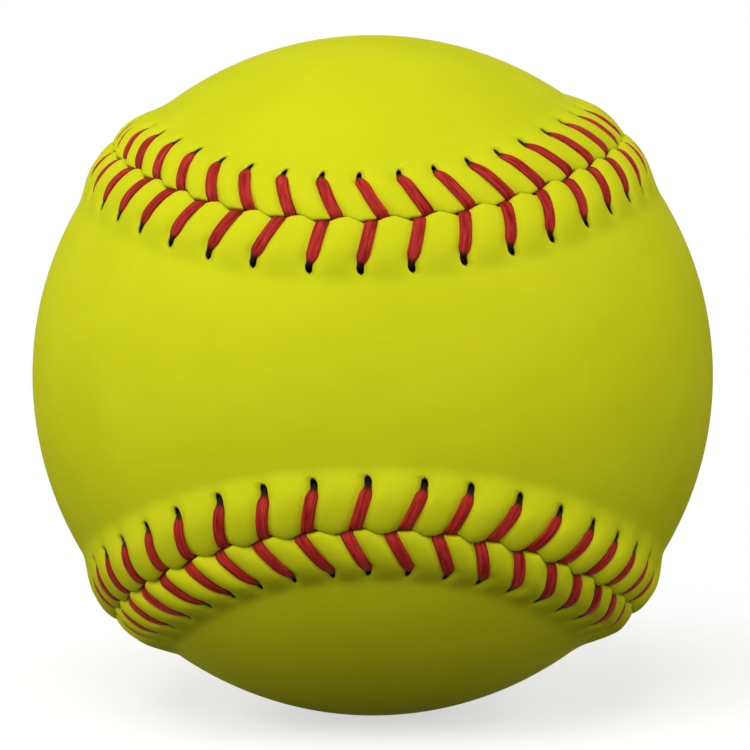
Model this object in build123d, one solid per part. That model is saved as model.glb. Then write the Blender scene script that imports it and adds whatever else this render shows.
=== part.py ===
from build123d import *
from collections import namedtuple
from math import acos, asin, atan2, cos, degrees, hypot, pi, radians, sin, sqrt, tan
import os

# A softball: a moulded core, its cement coat, two figure-eight leather panels and the two threads that
# sew them. The origin is the centre of the ball, +Z is up, and the waist of the front panel faces -Y.

# Ball and its layers
ball_diameter = 97.0
leather_thickness = 1.8
cement_thickness = 0.3

# Seam line, in degrees seen from the centre of the ball
waist_half_angle = 22.5
lobe_arc_angle = 40.0
crossing_lean = 13.5

# Raised seam, measured from the middle of the gap between the panels
seam_height = 1.7
crest_offset = 2.6
edge_drop = 0.75

# Stitches: a hole in each panel, and half-stitches that lean forward from the holes to the gap
stitches_from_waist_to_crossing = 12
hole_offset = 6.5
hole_clearance = 0.2
stitch_lean = 2.6

# Thread
thread_diameter = 0.8
thread_clearance = 0.1
thread_spacing = 1.3
corner_allowance = 0.25
crest_bend_radius = 2.0
tucked_end_gap = 1.5

# Layer radii
ball_radius = ball_diameter / 2
cement_radius = ball_radius - leather_thickness
core_radius = cement_radius - cement_thickness

# Section of the raised seam: a crest arc that runs tangent into a hollow foot arc
half_gap = thread_diameter / 2 + thread_clearance
crest_radius = ball_radius + seam_height
edge_top = crest_radius - edge_drop
shoulder_offset = 2 * crest_offset - half_gap
crest_half_width = crest_offset - half_gap
crest_arc_radius = (crest_half_width ** 2 + edge_drop ** 2) / (2 * edge_drop)
shoulder_slope = asin(crest_half_width / crest_arc_radius)
foot_arc_radius = (seam_height - edge_drop) / (1 - cos(shoulder_slope))
foot_offset = shoulder_offset + foot_arc_radius * sin(shoulder_slope)
SeamArc = namedtuple("SeamArc", "axis radius start sweep around_back")
CENTRE = (0, 0, 0)
SIDE_CROSSING = Vector(1, 0, 1).normalized()


def half_turn(vector):
    """The vector turned by 180 degrees about the side crossing, which swaps the two panels."""
    return SIDE_CROSSING * (2 * vector.dot(SIDE_CROSSING)) - vector


def seam_arc(axis, radius, start, end, around_back):
    """Circle arc on the unit sphere about an axis, which lies in the back panel or in the front panel."""
    toward_start = start - axis * start.dot(axis)
    toward_end = end - axis * end.dot(axis)
    sweep = atan2(axis.dot(toward_start.cross(toward_end)), toward_start.dot(toward_end))
    return SeamArc(axis, radius, start, degrees(sweep), around_back)


def quarter_seam():
    """The seam from the top of the front waist to the back waist: four circle arcs, tangent to each other."""
    waist = radians(waist_half_angle)
    lobe = radians(lobe_arc_angle)
    lean = radians(crossing_lean)
    waist_top = Vector(0, -cos(waist), sin(waist))
    lobe_axis = Vector(0, -cos(waist + lobe), sin(waist + lobe))
    along = Vector(-sin(lean) / sqrt(2), cos(lean), sin(lean) / sqrt(2))
    inward = along.cross(SIDE_CROSSING)
    inward = inward if inward.dot(lobe_axis) > 0 else -inward
    flank = atan2(lobe_axis.dot(SIDE_CROSSING) - cos(lobe), sin(lobe) - lobe_axis.dot(inward)) % pi
    flank_axis = SIDE_CROSSING * cos(flank) + inward * sin(flank)
    toward_joint = (lobe_axis - flank_axis * lobe_axis.dot(flank_axis)).normalized()
    joint = flank_axis * cos(flank) + toward_joint * sin(flank)
    front = [
        seam_arc(lobe_axis, lobe, waist_top, joint, True),
        seam_arc(flank_axis, flank, joint, SIDE_CROSSING, True),
    ]
    back = [
        seam_arc(half_turn(flank_axis), flank, SIDE_CROSSING, half_turn(joint), False),
        seam_arc(half_turn(lobe_axis), lobe, half_turn(joint), half_turn(waist_top), False),
    ]
    return front + back


QUARTER = quarter_seam()
QUARTER_LENGTH = sum(abs(radians(arc.sweep)) * sin(arc.radius) * ball_radius for arc in QUARTER)
stitch_count = 8 * stitches_from_waist_to_crossing
stitch_pitch = 4 * QUARTER_LENGTH / stitch_count

# Tunnel under the raised edge: a straight run of thread dips by its sag below the curve of the ball
longest_run = hypot(hole_offset, stitch_pitch - stitch_lean + thread_spacing)
run_sag = longest_run ** 2 / (8 * cement_radius)
thread_rise = thread_diameter / 2 + thread_clearance
under_run = cement_radius + run_sag + thread_rise
tunnel_roof = under_run + thread_rise
hole_diameter = thread_diameter + 2 * hole_clearance
tunnel_end = hole_offset + hole_diameter / 2 + thread_clearance
edge_bottom = under_run + thread_diameter

# Corners of the thread where it leaves a hole, passes over the crest and turns down into the gap
over_hole = ball_radius + thread_rise + corner_allowance
over_crest = crest_radius + thread_rise + corner_allowance
over_crest_offset = crest_offset + thread_diameter / 2
over_gap = edge_top + thread_rise + corner_allowance
hole_bend_radius = 0.49 * (over_hole - under_run)
gap_bend_radius = thread_diameter + thread_clearance


def arc_frame(arc, turned):
    """Unit vectors after turning so far along an arc: from the centre, and towards the back panel."""
    point = arc.start.rotate(Axis(CENTRE, arc.axis), turned)
    toward_back = (arc.axis - point * arc.axis.dot(point)).normalized()
    toward_back = toward_back if arc.around_back else -toward_back
    return point, toward_back


def seam_frame(distance):
    """Unit vectors of the seam at a distance along it: from the centre, and towards the back panel."""
    quarter, rest = divmod(distance, QUARTER_LENGTH)
    for arc in QUARTER:
        length = abs(radians(arc.sweep)) * sin(arc.radius) * ball_radius
        if rest <= length:
            break
        rest -= length
    point, toward_back = arc_frame(arc, arc.sweep * min(rest / length, 1))
    for turn in range(int(quarter) % 4):
        # A quarter turn with a reflection carries each quarter of the seam to the next and swaps the panels.
        point = Vector(point.Z, -point.Y, -point.X)
        toward_back = Vector(-toward_back.Z, toward_back.Y, toward_back.X)
    return point, toward_back


def place(frame, offset, radius):
    """Point at an offset across the seam, measured over the ball, and at a radius from its centre."""
    point, toward_back = frame
    angle = offset / ball_radius
    return (point * cos(angle) + toward_back * sin(angle)) * radius


def mirrored(arc, left_right, up_down):
    """The arc reflected left to right, top to bottom, or both: each factor is 1 or -1."""
    axis = Vector(arc.axis.X * left_right, arc.axis.Y, arc.axis.Z * up_down)
    start = Vector(arc.start.X * left_right, arc.start.Y, arc.start.Z * up_down)
    return arc._replace(axis=axis, start=start, sweep=arc.sweep * left_right * up_down)


def panel_slice(arc):
    """Front panel across one arc, from its raised edge with the tunnel under it to the middle."""
    frame = arc_frame(arc, 0)
    past_the_middle = 5 * pi / 6 - arc.radius
    reach = ball_radius * (past_the_middle if arc.around_back else arc.radius)

    def at(offset, radius):
        return place(frame, -offset, radius)

    def round_arc(first, last, radius):
        return ThreePointArc(at(first, radius), at((first + last) / 2, radius), at(last, radius))

    hollow_crest = crest_radius - leather_thickness
    crest = ThreePointArc(at(half_gap, edge_top), at(crest_offset, crest_radius), at(shoulder_offset, edge_top))
    foot = TangentArc(at(shoulder_offset, edge_top), at(foot_offset, ball_radius), tangent=crest % 1)
    hollow = ThreePointArc(
        at(shoulder_offset, tunnel_roof), at(crest_offset, hollow_crest), at(half_gap, edge_bottom)
    )
    outline = [
        Line(at(half_gap, edge_bottom), at(half_gap, edge_top)),
        crest,
        foot,
        round_arc(foot_offset, reach, ball_radius),
        Line(at(reach, ball_radius), at(reach, cement_radius)),
        round_arc(reach, tunnel_end, cement_radius),
        Line(at(tunnel_end, cement_radius), at(tunnel_end, tunnel_roof)),
        round_arc(tunnel_end, shoulder_offset, tunnel_roof),
        hollow,
    ]
    return revolve(Face(Wire(outline)), Axis(CENTRE, arc.axis), arc.sweep)


def stitch_hole(index):
    """Hole through the front panel for one stitch."""
    outward = place(seam_frame(index * stitch_pitch), -hole_offset, 1)
    low = tunnel_roof - thread_diameter / 2
    middle = outward * ((low + crest_radius) / 2)
    return Plane(origin=middle, z_dir=outward) * Cylinder(hole_diameter / 2, crest_radius - low)


def cover_panel():
    """Front leather panel: a figure eight with a raised, hollow edge and a row of stitch holes."""
    skin = []
    for left_right in (1, -1):
        for up_down in (1, -1):
            half_space = Pos(0, 0, up_down * ball_diameter) * Box(*[2 * ball_diameter] * 3)
            for arc in QUARTER:
                piece = panel_slice(mirrored(arc, left_right, up_down))
                piece = piece if arc is QUARTER[-1] else piece & half_space
                skin += piece.faces().filter_by(GeomType.PLANE, reverse=True)
    # The slices meet in planes through the centre, so their curved faces alone close the panel.
    panel = Solid(Shell(skin))
    return panel - [stitch_hole(index) for index in range(stitch_count)]


def thread_route(first_side):
    """Corner points and bend radii of one thread, from its tucked end round the ball to the other end."""
    points = []
    radii = []
    side = first_side
    for index in range(stitch_count):
        along = index * stitch_pitch
        lean = stitch_lean if side > 0 else stitch_lean - thread_spacing
        climb = lean * (1 - over_crest_offset / hole_offset)
        hole = seam_frame(along)
        gap = seam_frame(along + lean)
        points += [
            place(hole, side * hole_offset, under_run),
            place(hole, side * hole_offset, over_hole),
            place(seam_frame(along + climb), side * over_crest_offset, over_crest),
            place(gap, 0, over_gap),
            place(gap, 0, under_run),
        ]
        radii += [hole_bend_radius, hole_bend_radius, crest_bend_radius, gap_bend_radius, thread_diameter]
        side = -side
    last_run = points[0] - points[-1]
    tuck = last_run.normalized() * (tucked_end_gap / 2)
    middle = points[-1] + last_run / 2
    return [middle + tuck] + points + [middle - tuck], radii


def rounded_path(points, radii):
    """Straight runs joined by tangent arcs, one at each inner point."""
    edges = []
    start = points[0]
    for before, corner, after, radius in zip(points, points[1:], points[2:], radii):
        arrive = (corner - before).normalized()
        leave = (after - corner).normalized()
        half_turn_angle = acos(arrive.dot(leave)) / 2
        cut_back = radius * tan(half_turn_angle)
        bend_start = corner - arrive * cut_back
        bend_end = corner + leave * cut_back
        inward = (leave - arrive).normalized()
        bend_middle = corner + inward * (radius / cos(half_turn_angle) - radius)
        edges.append(Line(start, bend_start))
        edges.append(ThreePointArc(bend_start, bend_middle, bend_end))
        start = bend_end
    edges.append(Line(start, points[-1]))
    return Wire(edges)


def seam_thread(first_side):
    """One waxed thread, swept whole along its route through the holes, over the edges and down the gap."""
    points, radii = thread_route(first_side)
    path = rounded_path(points, radii)
    section = Plane(origin=path @ 0, z_dir=path % 0) * Circle(thread_diameter / 2)
    thread = sweep(section, path)
    expected = path.length * pi * thread_diameter ** 2 / 4
    print(f"thread: {path.length:.1f} mm long, volume {thread.volume:.1f} of {expected:.1f} mm3")
    return thread


def main():
    front = cover_panel()
    pieces = {
        "core": Sphere(core_radius),
        "cement_coat": Sphere(cement_radius) - Sphere(core_radius),
        "cover_panel_front": front,
        "cover_panel_back": front.rotate(Axis(CENTRE, SIDE_CROSSING), 180),
        "seam_thread_first": seam_thread(1),
        "seam_thread_second": seam_thread(-1),
    }
    os.makedirs("parts", exist_ok=True)
    for name, piece in pieces.items():
        piece.label = name
        export_step(piece, f"parts/{name}.step")


if __name__ == "__main__":
    main()
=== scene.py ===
"""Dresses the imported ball: sewn leather panels, flat waxed threads, core finishes and a pale studio."""

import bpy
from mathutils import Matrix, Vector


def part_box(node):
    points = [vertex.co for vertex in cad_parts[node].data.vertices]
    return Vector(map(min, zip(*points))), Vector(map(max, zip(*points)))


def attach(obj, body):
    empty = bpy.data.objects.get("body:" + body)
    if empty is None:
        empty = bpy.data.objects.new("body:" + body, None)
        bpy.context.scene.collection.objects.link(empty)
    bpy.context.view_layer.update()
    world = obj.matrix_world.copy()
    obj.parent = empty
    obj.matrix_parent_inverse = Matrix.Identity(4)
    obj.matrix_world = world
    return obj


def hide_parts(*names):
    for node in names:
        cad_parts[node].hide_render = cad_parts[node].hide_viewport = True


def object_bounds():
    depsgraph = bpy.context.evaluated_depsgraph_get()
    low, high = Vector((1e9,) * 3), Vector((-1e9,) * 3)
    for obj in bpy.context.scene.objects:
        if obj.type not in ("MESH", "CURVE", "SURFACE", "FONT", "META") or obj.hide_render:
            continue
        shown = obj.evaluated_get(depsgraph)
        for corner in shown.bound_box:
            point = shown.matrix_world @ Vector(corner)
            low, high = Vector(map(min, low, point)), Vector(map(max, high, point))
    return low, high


bl_info = {
    "name": "Sewn Leather Ball",
    "version": (1, 0, 0),
    "blender": (4, 5, 0),
    "location": "View3D > Sidebar > Ball",
    "description": "Builds the leather cover, the seam threads and the finishes of a sewn ball",
    "category": "Add Mesh",
}

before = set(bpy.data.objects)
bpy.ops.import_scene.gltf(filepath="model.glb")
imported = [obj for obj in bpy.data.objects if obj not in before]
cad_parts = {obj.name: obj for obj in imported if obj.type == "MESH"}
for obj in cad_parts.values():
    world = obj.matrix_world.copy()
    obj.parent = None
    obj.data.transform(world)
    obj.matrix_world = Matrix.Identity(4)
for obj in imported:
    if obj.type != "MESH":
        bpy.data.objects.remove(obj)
CAD_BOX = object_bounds()

from collections import namedtuple
from math import atan2, cos, pi, radians, sin, sqrt

import bmesh
import bpy
import numpy as np
from bpy.props import FloatProperty, FloatVectorProperty, IntProperty, PointerProperty
from bpy.types import Operator, Panel, PropertyGroup
from mathutils import Euler, Vector
from mathutils.geometry import delaunay_2d_cdt
from mathutils.kdtree import KDTree

MM = 0.001

# Sides of the seam, with the panel on each and the thread whose first half-stitch lies there
BACK = 1
FRONT = -1
PANELS = {FRONT: "cover_panel_front", BACK: "cover_panel_back"}
THREADS = {BACK: "seam_thread_first", FRONT: "seam_thread_second"}

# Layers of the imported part
CEMENT_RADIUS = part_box("cement_coat")[1].z
LINING_RADIUS = CEMENT_RADIUS + 0.01 * MM
TUNNEL_ROOF = CEMENT_RADIUS + 1.16 * MM
UNDER_RUN = CEMENT_RADIUS + 0.66 * MM

# Mesh density: columns along the seam, rows across it, and points over the middle of a panel
COLUMNS_BESIDE_THREAD = 4
GROOVE_BANK = 1.4 * MM
COLUMNS_ON_PILLOW = 4
SLIT_COLUMNS = 2
SLIT_ROWS = 6
ROWS_ON_LIP = 9
ROWS_TO_SLIT = 8
ROWS_PAST_SLIT = 8
ROWS_OF_LINING = 5
LIP_CROWDING = 1.7
STRIP_CROWDING = 1.2
MIDDLE_SPACING = 1.3 * MM
LINING_SPACING = 3.0 * MM
TRIANGLE_HEIGHT = 0.866
SEAM_SAMPLE = 0.4 * MM
MERGE_DISTANCE = 1e-7
THREAD_SIDES = 20
THREAD_ROWS_ON_PILLOW = 14
THREAD_ROWS_ON_LIP = 9
SMOOTHING_PASSES = 2

# Rings of points inside the border of a middle: spacings in from it, and border points to each ring point
BORDER_RINGS = ((0.5, 2), (1.2, 4), (2.3, 4))
LAST_RING_TO_MIDDLE = 0.7

# Strip along the seam, measured in from the panel's edge or on from the end of a stitch hole
SLIT_MARGIN = 0.15 * MM
STRIP_PAST_SLIT = 4.2 * MM
LINING_EDGE = 0.05 * MM
LINING_PAST_SLIT = 0.2 * MM
LEDGE_WIDTH = 0.1 * MM
ROOF_RISE = 0.3 * MM
ROOF_RISE_REACH = 0.5 * MM

# Unevenness of hand sewing: the spread of each random draw, and slow drifts round the seam
SEWING_SEED = 12
LEAN_SPREAD = 0.13 * MM
HOLE_SHIFT_SPREAD = 0.18 * MM
HOLE_DRIFT_SPREAD = 0.10 * MM
HOLE_DRIFT_PLACE = 0.7 * MM
HOLE_DRIFT_REACH = 1.2 * MM
PUFF_SPREAD = 0.07
STITCH_WANDER = 0.42 * MM
STITCH_LAG = 0.08 * MM
HOLE_WANDER = 0.7 * MM
HOLE_WANDER_START = 0.09
HOLE_WANDER_ONCE = 0.2 * MM
HOLE_WANDER_BEGINS = 1.5 * MM
HOLE_WANDER_FADES = (7.3 * MM, 11 * MM)

# Shallow hollows all over the leather
HOLLOW_WAVES = 14
HOLLOW_TURNS = 5.5
HOLLOW_DEPTH = 0.05 * MM

# Crease between the panels, measured along the seam from the middle of a stitch or in from the edge
CREASE_SKEW = 0.25
CREASE_FADES = (0, 4.5 * MM)
OPEN_HALF_GAP = 0.16 * MM
CLOSED_HALF_GAP = 0.01 * MM
GAP_CLOSES = (1.45 * MM, 2.05 * MM)

# Raised edge: how its height and foot change round the ball, and the powers that round its section
LOWER_AT_WAIST = 0.17
HIGHER_BETWEEN = 0.15
LOWER_AT_TOP = 0.23
NARROWER_AT_WAIST = 0.9 * MM
PILLOW_FULLNESS = 2.45
FULLER_AT_WAIST = 0.45
LIP_ROUNDNESS = 0.5

# Pull of a stitch on the leather, measured to the side of its line, in from the edge or on from its hole
LIP_PULL = 0.58
LIP_PULL_FADES = (0.5 * MM, 2.0 * MM)
SUNK_SHARE = 0.20
LESS_SUNK_AT_WAIST = 0.08
GROOVE_SIDES = (0.55 * MM, 1.6 * MM)
GROOVE_BEGINS = (-0.3 * MM, 0.6 * MM)
GROOVE_ENDS = (-0.6 * MM, 1.0 * MM)
SIDESTEP_REACH = 1.1 * MM
DIMPLE_DEPTH = 0.45 * MM
DIMPLE_PLACE = 0.6 * MM
DIMPLE_WIDTH = 1.0 * MM
DIMPLE_LENGTH = 1.2 * MM
FURROW_DEPTH = 0.12 * MM
FURROW_BEGINS = (0, 0.7 * MM)
FURROW_WIDTH = 0.8 * MM
FURROW_LENGTH = 1.5 * MM

# Stitch hole: its size at the lining, and its rounded rim, as shares of the hole's depth and half width
LINING_SLIT_SHARE = 0.55
RIM_DEPTH = 0.22
RIM_DRAW_IN = 0.10

# Painted shade in the crease and the stitch holes, from 0 on open leather to 1
PAINTED_EDGE_SHADE = 0.12
PAINTED_EDGE_SHADE_REACH = 0.1 * MM
PAINTED_RIM_SHADE = 0.25

# Thread in its hole: millimetres on from the start of the hole and above the leather, none under the cover
HOLE_RISE = ((1.30, None), (1.30, -1.1), (1.24, -0.75), (1.10, -0.45), (0.91, -0.20), (0.70, 0.02))
HOLE_NARROWS = (-1.0, -0.6)
HOLE_HALF_WIDTH = 0.34 * MM
RIM_HALF_WIDTH = 0.41 * MM
HOLE_HALF_THICKNESS = 0.2 * MM

# Thread over the leather: where it leaves the hole, spreads flat and nears the gap
LEAVES_HOLE = 0.5 * MM
SPREADS_FLAT = (-0.75 * MM, 0.45 * MM)
COLOUR_BEGINS = (-0.65 * MM, 0.05 * MM)
NEARS_LIP = 1.2 * MM
NEARS_GAP = (-0.6 * MM, 0)
LIP_INSET = 0.01 * MM
GAP_WIDENING = 0.05 * MM
GAP_THINNING = 0.10 * MM
GAP_SHADE = 0.35
PRESSED_IN = 0.04 * MM

# Thread in the gap and under the cover
LIP_TURNS = (radians(80), radians(88))
BELOW_LIP = 0.25 * MM
BELOW_BALL = 0.35 * MM
ABOVE_RUN = 0.25 * MM
IN_GAP_SHADE = 0.6
RUN_SHARES = (0.2, 0.4, 0.6, 0.8)
RUN_PAST_SLIT = 1.0 * MM
RUN_HALF_WIDTH = 0.4 * MM
RUN_HALF_THICKNESS = 0.36 * MM

# Strands of a thread
STRANDS = 5
STRAND_RIDGE = 0.05
STRAND_TWIST = 2.2 * MM
FIBRE_LENGTH = 9 * MM
SIDE_ROUNDNESS = 0.75
TOP_ROUNDNESS = 0.7

# Paper floor, in metres and in shares of white
FLOOR_HALF_WIDTH = 3.0
SHADOW_FADES = (0.06, 0.22)
PAPER_GLOW = 0.6
PAPER_BOUNCE = 0.08

# Lamps: azimuth to the right of the camera and elevation in degrees, distance and size in metres
Lamp = namedtuple("Lamp", "azimuth elevation distance size")
LAMPS = {
    "key": Lamp(-12, 42, 0.8, 0.5),
    "left": Lamp(-75, 15, 0.8, 0.6),
    "right": Lamp(70, 20, 0.8, 0.6),
    "front": Lamp(0, 8, 0.9, 0.5),
    "back": Lamp(180, 6, 0.8, 0.4),
}

# Framing: the picture's width and the shift of its middle in pixels, and the camera's turn in degrees
PICTURE_WIDTH = 750
PICTURE_SHIFT = (2.3, 0.25)
CAMERA_TURN = (-0.02, -0.66, -1.54)
SENSOR_WIDTH = 36.0

SeamArc = namedtuple("SeamArc", "axis radius start sweep around_back length")


# Properties


def length_property(name, description, default):
    """A length in metres."""
    return FloatProperty(name=name, description=description, default=default, unit="LENGTH")


def angle_property(name, description, default):
    """An angle, given in degrees."""
    return FloatProperty(name=name, description=description, default=radians(default), subtype="ANGLE")


def power_property(name, description, default):
    """A lamp's power in watts."""
    return FloatProperty(name=name, description=description, default=default, unit="POWER")


def colour_property(name, description, default):
    """A linear colour."""
    return FloatVectorProperty(
        name=name, description=description, default=default, subtype="COLOR", min=0, max=1,
    )


class BallSizes(PropertyGroup):
    """Size of the ball and the line of its seam."""

    diameter: length_property(
        "Diameter", "Across the leather, clear of the seam", CAD_BOX[1].z - CAD_BOX[0].z,
    )
    waist_half_angle: angle_property(
        "Waist Half Angle", "Half the width of a panel's waist, seen from the centre", 22.5,
    )
    lobe_arc_angle: angle_property(
        "Lobe Arc Angle", "Radius of the seam's arc round a lobe, seen from the centre", 40.0,
    )
    crossing_lean: angle_property("Crossing Lean", "Slant of the seam at the four side crossings", 13.5)
    stitches_in_an_eighth: IntProperty(
        name="Stitches in an Eighth", description="Stitches from a waist to a side crossing", default=12,
    )


class SeamSizes(PropertyGroup):
    """Shape of the raised seam and its stitches."""

    height: length_property("Seam Height", "Mean rise of the leather between stitches", 1.55 * MM)
    crest_offset: length_property("Crest Offset", "From the panel's edge to its highest line", 2.4 * MM)
    foot_offset: length_property(
        "Foot Offset", "From the panel's edge to where it lies on the core", 9.1 * MM,
    )
    edge_depth: length_property("Edge Depth", "Drop from the crest to the rolled edge", 0.70 * MM)
    groove_depth: length_property("Groove Depth", "How deep a thread presses into the leather", 0.27 * MM)
    crease_wave: length_property("Crease Wave", "Sideways swing of the crease at each stitch", 0.34 * MM)
    slit_start: length_property(
        "Slit Start", "From the panel's edge to the near end of a stitch hole", 5.1 * MM,
    )
    slit_length: length_property("Slit Length", "Length of a stitch hole", 2.0 * MM)
    slit_width: length_property("Slit Width", "Width of a stitch hole", 0.85 * MM)
    slit_side: length_property(
        "Slit Side", "How far a stitch hole lies behind the middle of its thread", 0.28 * MM,
    )
    stitch_lean: length_property(
        "Stitch Lean", "How far a back half-stitch runs forward from hole to gap", 2.6 * MM,
    )
    thread_spacing: length_property("Thread Spacing", "Between the two threads in the gap", 1.3 * MM)
    thread_width: length_property("Thread Width", "Across the flattened thread", 1.55 * MM)
    thread_thickness: length_property("Thread Thickness", "Through the flattened thread", 0.5 * MM)


class BallFinishes(PropertyGroup):
    """Colours of the leather, the thread and the inside."""

    leather: colour_property("Leather", "Dyed leather", (0.672, 0.690, 0.012))
    leather_shade: colour_property("Leather Shade", "Dye where it lies thicker", (0.582, 0.612, 0.008))
    # Painted shade: a near-black colour laid into the crease, the stitch holes, the lining and the thread's
    # tucked ends
    soil: colour_property("Shade Paint", "Painted shade in creases and holes", (0.006, 0.004, 0.002))
    thread: colour_property("Thread", "Waxed thread", (0.59, 0.036, 0.028))
    thread_shade: colour_property("Thread Shade", "Between the fibres", (0.16, 0.004, 0.002))
    foam: colour_property("Foam", "Moulded core", (0.80, 0.70, 0.48))
    cement: colour_property("Cement", "Dried latex coat", (0.62, 0.50, 0.26))


class StudioSettings(PropertyGroup):
    """Camera and light."""

    camera_distance: length_property("Camera Distance", "From the lens to the centre of the ball", 0.26675)
    lens: FloatProperty(name="Lens", description="Focal length in millimetres", default=88.4, unit="CAMERA")
    key_power: power_property("Key Power", "Large lamp above the camera", 3.6)
    left_power: power_property("Left Power", "Lamp at the left", 2.4)
    right_power: power_property("Right Power", "Lamp at the right", 1.75)
    front_power: power_property("Front Power", "Lamp by the camera", 2.1)
    back_power: power_property("Back Power", "Lamp behind the ball", 3.2)
    ambient: FloatProperty(name="Ambient", description="Even light from all round", default=0.14, min=0)
    paper: colour_property("Paper", "Floor and background", (0.6, 0.6, 0.6))


# Vectors and smooth steps


def unit(vector):
    """Vectors of length one, along the last axis."""
    vector = np.asarray(vector, float)
    return vector / np.linalg.norm(vector, axis=-1, keepdims=True)


def smooth_step(value, low, high):
    """Rises smoothly from 0 at low to 1 at high."""
    share = np.clip((value - low) / (high - low), 0, 1)
    return share * share * (3 - 2 * share)


def spaced(first, last, count, crowding=1.0):
    """Numbers from first to just before last, closer together at first where crowding is above 1."""
    return first + (last - first) * (np.arange(count) / count) ** crowding


# Seam line


class SeamLine:
    """The closed seam on a ball: circle arcs that join tangent, repeated four times."""

    def __init__(self, ball):
        self.radius = ball.diameter / 2
        self.crossing = unit((1, 0, 1))
        self.arcs = self.quarter(ball.waist_half_angle, ball.lobe_arc_angle, ball.crossing_lean)
        self.quarter_length = sum(arc.length for arc in self.arcs)
        self.length = 4 * self.quarter_length

    def half_turn(self, vector):
        """The vector turned by 180 degrees about the side crossing, which swaps the panels."""
        return self.crossing * (2 * vector.dot(self.crossing)) - vector

    def arc(self, axis, radius, start, end, around_back):
        """Circle arc about an axis, which lies in the back panel or in the front panel."""
        toward_start = start - axis * start.dot(axis)
        toward_end = end - axis * end.dot(axis)
        sweep = atan2(axis.dot(np.cross(toward_start, toward_end)), toward_start.dot(toward_end))
        return SeamArc(axis, radius, start, sweep, around_back, abs(sweep) * sin(radius) * self.radius)

    def quarter(self, waist, lobe, lean):
        """The seam from the top of the front waist to the back waist."""
        crossing = self.crossing
        turned = self.half_turn
        waist_top = np.array((0, -cos(waist), sin(waist)))
        lobe_axis = np.array((0, -cos(waist + lobe), sin(waist + lobe)))
        along = np.array((-sin(lean) / sqrt(2), cos(lean), sin(lean) / sqrt(2)))
        inward = np.cross(along, crossing)
        inward = inward if inward.dot(lobe_axis) > 0 else -inward
        flank = atan2(lobe_axis.dot(crossing) - cos(lobe), sin(lobe) - lobe_axis.dot(inward)) % pi
        flank_axis = crossing * cos(flank) + inward * sin(flank)
        toward_joint = unit(lobe_axis - flank_axis * lobe_axis.dot(flank_axis))
        joint = flank_axis * cos(flank) + toward_joint * sin(flank)
        return [
            self.arc(lobe_axis, lobe, waist_top, joint, True),
            self.arc(flank_axis, flank, joint, crossing, True),
            self.arc(turned(flank_axis), flank, crossing, turned(joint), False),
            self.arc(turned(lobe_axis), lobe, turned(joint), turned(waist_top), False),
        ]

    def frames(self, along):
        """Unit vectors at distances along the seam: from the centre, and towards the back panel."""
        along = np.mod(along, self.length)
        quarter = np.minimum((along // self.quarter_length).astype(int), 3)
        rest = along - quarter * self.quarter_length
        point = np.empty(along.shape + (3,))
        toward_back = np.empty_like(point)
        arc_start = 0.0
        for arc in self.arcs:
            here = rest >= arc_start
            angle = ((rest[here] - arc_start) / arc.length * arc.sweep)[..., None]
            across = np.cross(arc.axis, arc.start)
            rise = arc.axis * arc.axis.dot(arc.start)
            point[here] = rise + (arc.start - rise) * np.cos(angle) + across * np.sin(angle)
            toward = unit(arc.axis - point[here] * (point[here] @ arc.axis)[..., None])
            toward_back[here] = toward if arc.around_back else -toward
            arc_start += arc.length
        for turn in (1, 2, 3):
            later = quarter >= turn
            # A quarter turn with a reflection carries each quarter to the next and swaps the panels.
            point[later] = point[later][:, [2, 1, 0]] * (1, -1, -1)
            toward_back[later] = toward_back[later][:, [2, 1, 0]] * (-1, 1, 1)
        return point, toward_back

    def place(self, along, offset, radius):
        """Points at offsets across the seam, measured over the ball, and at radii from its centre."""
        point, toward_back = self.frames(along)
        angle = (offset / self.radius)[..., None]
        return (point * np.cos(angle) + toward_back * np.sin(angle)) * np.asarray(radius)[..., None]


# Shape of the sewn edge, shared by the leather and the threads


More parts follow.
